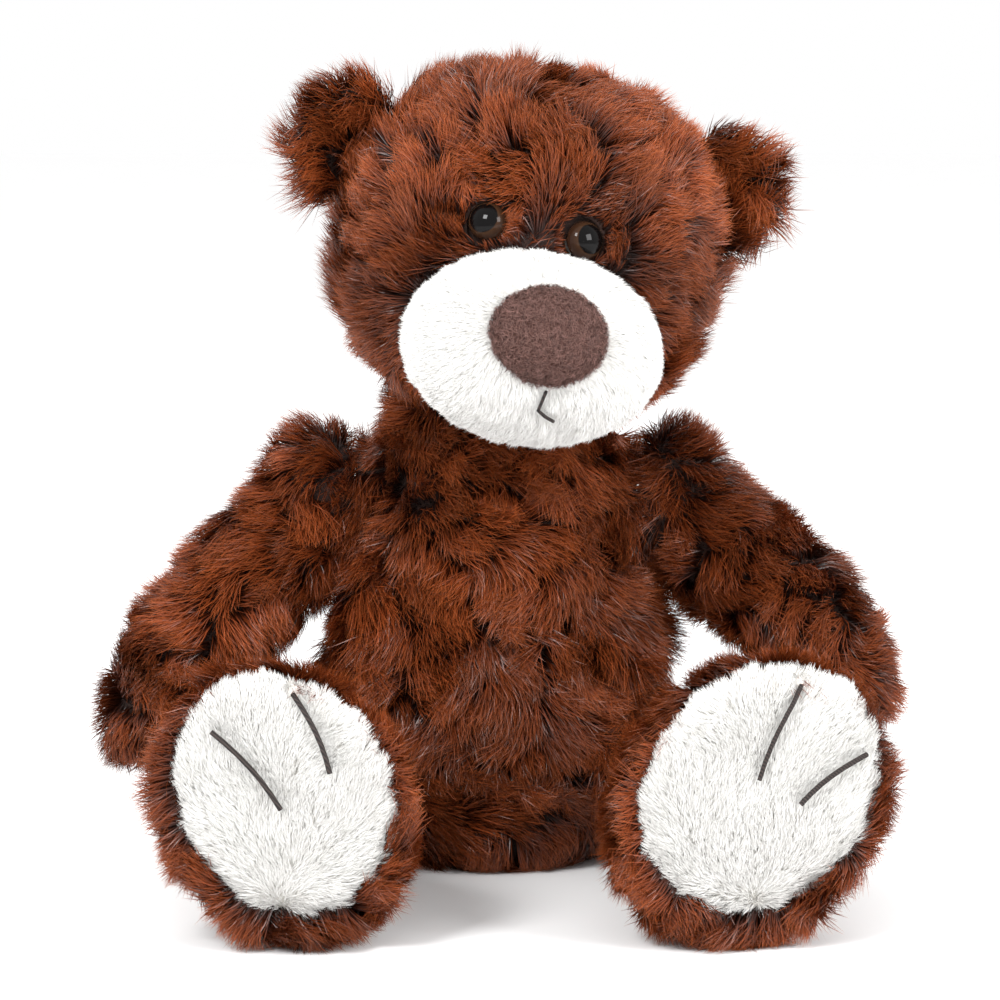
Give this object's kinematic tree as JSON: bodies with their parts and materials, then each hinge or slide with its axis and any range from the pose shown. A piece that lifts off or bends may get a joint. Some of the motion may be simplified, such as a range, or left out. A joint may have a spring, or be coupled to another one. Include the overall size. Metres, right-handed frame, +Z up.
{
  "type": "jointed teddy bear",
  "caption": "Seated jointed teddy bear in shaggy chestnut plush with a white muzzle and soles; head, arms and legs turn on disc joints.",
  "frame": {"origin": "middle of the flat seat under the trunk, on the surface the bear sits on", "axes": "+Z up; the bear faces -Y; +X is the bear's own left side"},
  "size_m": [0.26, 0.2005, 0.2617],
  "materials": {
    "brown_plush": "long swirled pile",
    "white_plush": "short dense pile",
    "nose_felt": "felted",
    "eye_plastic": "polished",
    "thread": "twisted thread",
    "stuffing": "loose fibre",
    "hardboard": "pressed board",
    "steel": "zinc plated",
    "nylon": "moulded"
  },
  "bodies": {
    "trunk": {"trunk_skin": "brown_plush", "trunk_stuffing": "stuffing", "back_seam_thread": "thread", "neck_trunk_disc": "hardboard", "shoulder_left_trunk_disc": "hardboard", "shoulder_right_trunk_disc": "hardboard", "hip_left_trunk_disc": "hardboard", "hip_right_trunk_disc": "hardboard"},
    "head": {"head_skin": "brown_plush", "head_stuffing": "stuffing", "muzzle": "white_plush", "nose": "nose_felt", "mouth_stitch": "thread", "ear_left": "brown_plush", "ear_right": "brown_plush", "eye_left": "eye_plastic", "eye_right": "eye_plastic", "eye_left_washer": "nylon", "eye_right_washer": "nylon", "neck_limb_disc": "hardboard", "neck_limb_washer": "steel", "neck_trunk_washer": "steel", "neck_bolt": "steel", "neck_nut": "steel"},
    "arm_left": {"arm_left_skin": "brown_plush", "arm_left_stuffing": "stuffing", "shoulder_left_limb_disc": "hardboard", "shoulder_left_limb_washer": "steel", "shoulder_left_trunk_washer": "steel", "shoulder_left_bolt": "steel", "shoulder_left_nut": "steel"},
    "arm_right": {"arm_right_skin": "brown_plush", "arm_right_stuffing": "stuffing", "shoulder_right_limb_disc": "hardboard", "shoulder_right_limb_washer": "steel", "shoulder_right_trunk_washer": "steel", "shoulder_right_bolt": "steel", "shoulder_right_nut": "steel"},
    "leg_left": {"leg_left_skin": "brown_plush", "leg_left_stuffing": "stuffing", "leg_left_sole": "white_plush", "leg_left_toe_stitch_1": "thread", "leg_left_toe_stitch_2": "thread", "hip_left_limb_disc": "hardboard", "hip_left_limb_washer": "steel", "hip_left_trunk_washer": "steel", "hip_left_bolt": "steel", "hip_left_nut": "steel"},
    "leg_right": {"leg_right_skin": "brown_plush", "leg_right_stuffing": "stuffing", "leg_right_sole": "white_plush", "leg_right_toe_stitch_1": "thread", "leg_right_toe_stitch_2": "thread", "hip_right_limb_disc": "hardboard", "hip_right_limb_washer": "steel", "hip_right_trunk_washer": "steel", "hip_right_bolt": "steel", "hip_right_nut": "steel"}
  },
  "joints": [
    {"name": "neck_swivel", "type": "hinge", "parent": "trunk", "child": "head", "pos_m": [0.0031, -0.008, 0.1559], "axis": [0.1392, 0, 0.9903], "range_deg": [-90, 45]},
    {"name": "shoulder_left", "type": "hinge", "parent": "trunk", "child": "arm_left", "pos_m": [0.0468, 0, 0.118], "axis": [-1, 0, 0], "range_deg": [-90, 180]},
    {"name": "shoulder_right", "type": "hinge", "parent": "trunk", "child": "arm_right", "pos_m": [-0.0468, 0, 0.118], "axis": [-1, 0, 0], "range_deg": [-90, 180]},
    {"name": "hip_left", "type": "hinge", "parent": "trunk", "child": "leg_left", "pos_m": [0.0503, -0.015, 0.035], "axis": [1, 0, 0], "range_deg": [-35, 95]},
    {"name": "hip_right", "type": "hinge", "parent": "trunk", "child": "leg_right", "pos_m": [-0.0503, -0.015, 0.035], "axis": [1, 0, 0], "range_deg": [-35, 95]}
  ]
}
